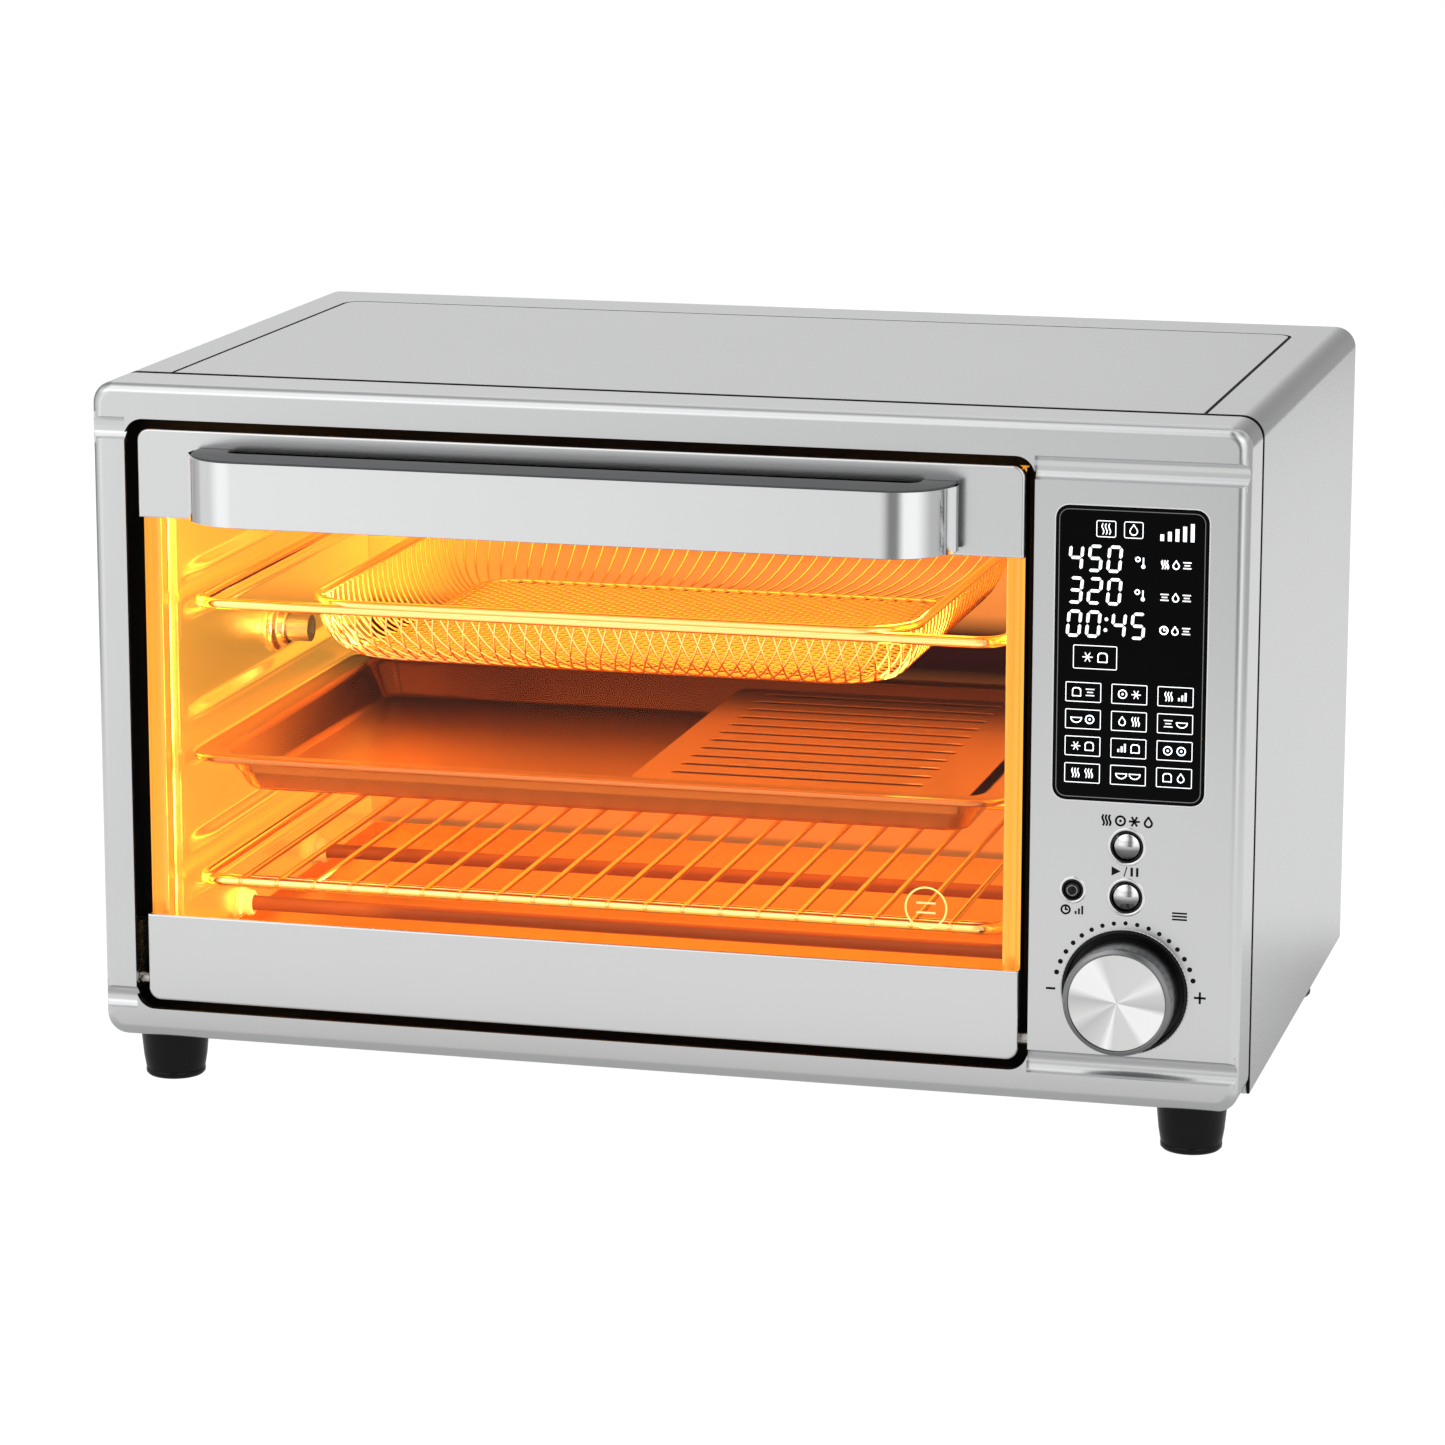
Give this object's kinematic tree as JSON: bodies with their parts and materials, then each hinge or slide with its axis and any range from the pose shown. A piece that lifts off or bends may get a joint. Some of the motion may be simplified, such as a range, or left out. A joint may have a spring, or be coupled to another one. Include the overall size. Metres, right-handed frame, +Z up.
{
  "type": "toaster oven",
  "caption": "Countertop toaster oven with drop-down glass door, basket, tray and rack inside, and a control panel with display, buttons and knob.",
  "frame": {"origin": "on the table surface, under the middle of the oven's box, handle included", "axes": "+X to the right seen from the front, -Y out of the door, +Z up"},
  "size_m": [0.48, 0.3308, 0.299],
  "materials": {
    "satin_steel": "satin",
    "case_steel": "satin",
    "cavity_steel": "semi-gloss",
    "wire_chrome": "polished",
    "black_enamel": "satin",
    "tray_coating": "satin non-stick",
    "handle_plastic": "satin",
    "handle_steel": "satin",
    "black_gloss_plastic": "gloss",
    "knob_grey": "satin anodised",
    "spun_aluminium": "spun",
    "button_chrome": "polished",
    "display_black": "gloss",
    "display_light": "lit",
    "panel_print": "printed",
    "glass_print": "printed",
    "door_glass": "clear",
    "heater_sheath": "oxidised",
    "plated_hardware": "plated",
    "motor_steel": "satin",
    "board_green": "satin"
  },
  "bodies": {
    "case": {"front_fascia": "satin_steel", "outer_wrap": "case_steel", "base_pan": "case_steel", "rear_cover": "case_steel", "cord_gland": "black_gloss_plastic", "foot_front_left": "black_gloss_plastic", "foot_rear_left": "black_gloss_plastic", "foot_front_right": "black_gloss_plastic", "foot_rear_right": "black_gloss_plastic", "front_frame": "black_enamel", "cavity_left_wall": "cavity_steel", "cavity_right_wall": "cavity_steel", "cavity_ceiling": "cavity_steel", "cavity_floor": "cavity_steel", "cavity_back": "cavity_steel", "heater_lower_front": "heater_sheath", "heater_lower_rear": "heater_sheath", "heater_upper_front": "heater_sheath", "heater_upper_rear": "heater_sheath", "temperature_sensor": "plated_hardware", "spit_socket": "plated_hardware", "spit_motor": "motor_steel", "spit_support": "plated_hardware", "fan_housing": "motor_steel", "fan_motor": "motor_steel", "hinge_bracket_left": "plated_hardware", "hinge_bracket_right": "plated_hardware", "door_spring": "plated_hardware", "display_lens": "display_black", "knob_bezel": "black_gloss_plastic", "encoder": "plated_hardware", "button_guide": "black_gloss_plastic", "control_board": "board_green", "power_board": "board_green"},
    "door": {"door_top_band": "satin_steel", "door_bottom_band": "satin_steel", "door_glass": "door_glass", "door_left_stile": "satin_steel", "door_right_stile": "satin_steel", "hinge_arm_left": "plated_hardware", "hinge_arm_right": "plated_hardware", "handle_grip": "handle_plastic", "handle_strip": "handle_steel", "handle_screw_left": "plated_hardware", "handle_screw_right": "plated_hardware"},
    "rack": {"lower_rack": "wire_chrome"},
    "tray": {"baking_tray": "tray_coating", "grill_plate": "tray_coating"},
    "basket": {"basket_frame": "wire_chrome", "fry_basket": "wire_chrome"},
    "crumb_drawer": {"crumb_tray": "cavity_steel"},
    "knob": {"control_knob": "knob_grey", "knob_cap": "spun_aluminium", "encoder_shaft": "plated_hardware"},
    "function_key": {"function_button": "button_chrome"},
    "start_key": {"start_button": "button_chrome"},
    "timer_key": {"timer_button": "black_gloss_plastic"},
    "spit_drive": {"spit_drive_shaft": "plated_hardware"},
    "fan": {"fan_blade": "spun_aluminium", "fan_shaft": "plated_hardware"}
  },
  "joints": [
    {"name": "door_hinge", "type": "hinge", "parent": "case", "child": "door", "pos_m": [-0.0346, -0.1269, 0.046], "axis": [1, 0, 0], "range_deg": [0, 90], "stiffness_Nm_per_rad": 0.5, "springref_deg": -28.65},
    {"name": "rack_slide", "type": "slide", "parent": "case", "child": "rack", "axis": [0, -1, 0], "range_m": [0, 0.11]},
    {"name": "tray_slide", "type": "slide", "parent": "case", "child": "tray", "axis": [0, -1, 0], "range_m": [0, 0.158]},
    {"name": "basket_slide", "type": "slide", "parent": "case", "child": "basket", "axis": [0, -1, 0], "range_m": [0, 0.158]},
    {"name": "crumb_slide", "type": "slide", "parent": "case", "child": "crumb_drawer", "axis": [0, -1, 0], "range_m": [0, 0.0285]},
    {"name": "knob_turn", "type": "hinge", "parent": "case", "child": "knob", "pos_m": [0.1939, -0.1334, 0.07], "axis": [0, 1, 0], "continuous": true},
    {"name": "function_press", "type": "slide", "parent": "case", "child": "function_key", "axis": [0, 1, 0], "range_m": [0, 0.0015], "stiffness_N_per_m": 400},
    {"name": "start_press", "type": "slide", "parent": "case", "child": "start_key", "axis": [0, 1, 0], "range_m": [0, 0.0015], "stiffness_N_per_m": 400},
    {"name": "timer_press", "type": "slide", "parent": "case", "child": "timer_key", "axis": [0, 1, 0], "range_m": [0, 0.0015], "stiffness_N_per_m": 400},
    {"name": "spit_turn", "type": "hinge", "parent": "case", "child": "spit_drive", "pos_m": [-0.206, 0.0151, 0.16999], "axis": [1, 0, 0], "continuous": true},
    {"name": "fan_turn", "type": "hinge", "parent": "case", "child": "fan", "pos_m": [0.1528, 0.0691, 0.14548], "axis": [1, 0, 0], "continuous": true}
  ],
  "couplings": [
    {"joint": "rack_slide", "follows": "door_hinge", "m_per_rad": 0.07},
    {"joint": "tray_slide", "follows": "door_hinge", "m_per_rad": 0.1},
    {"joint": "basket_slide", "follows": "door_hinge", "m_per_rad": 0.1},
    {"joint": "crumb_slide", "follows": "door_hinge", "m_per_rad": 0.018}
  ]
}
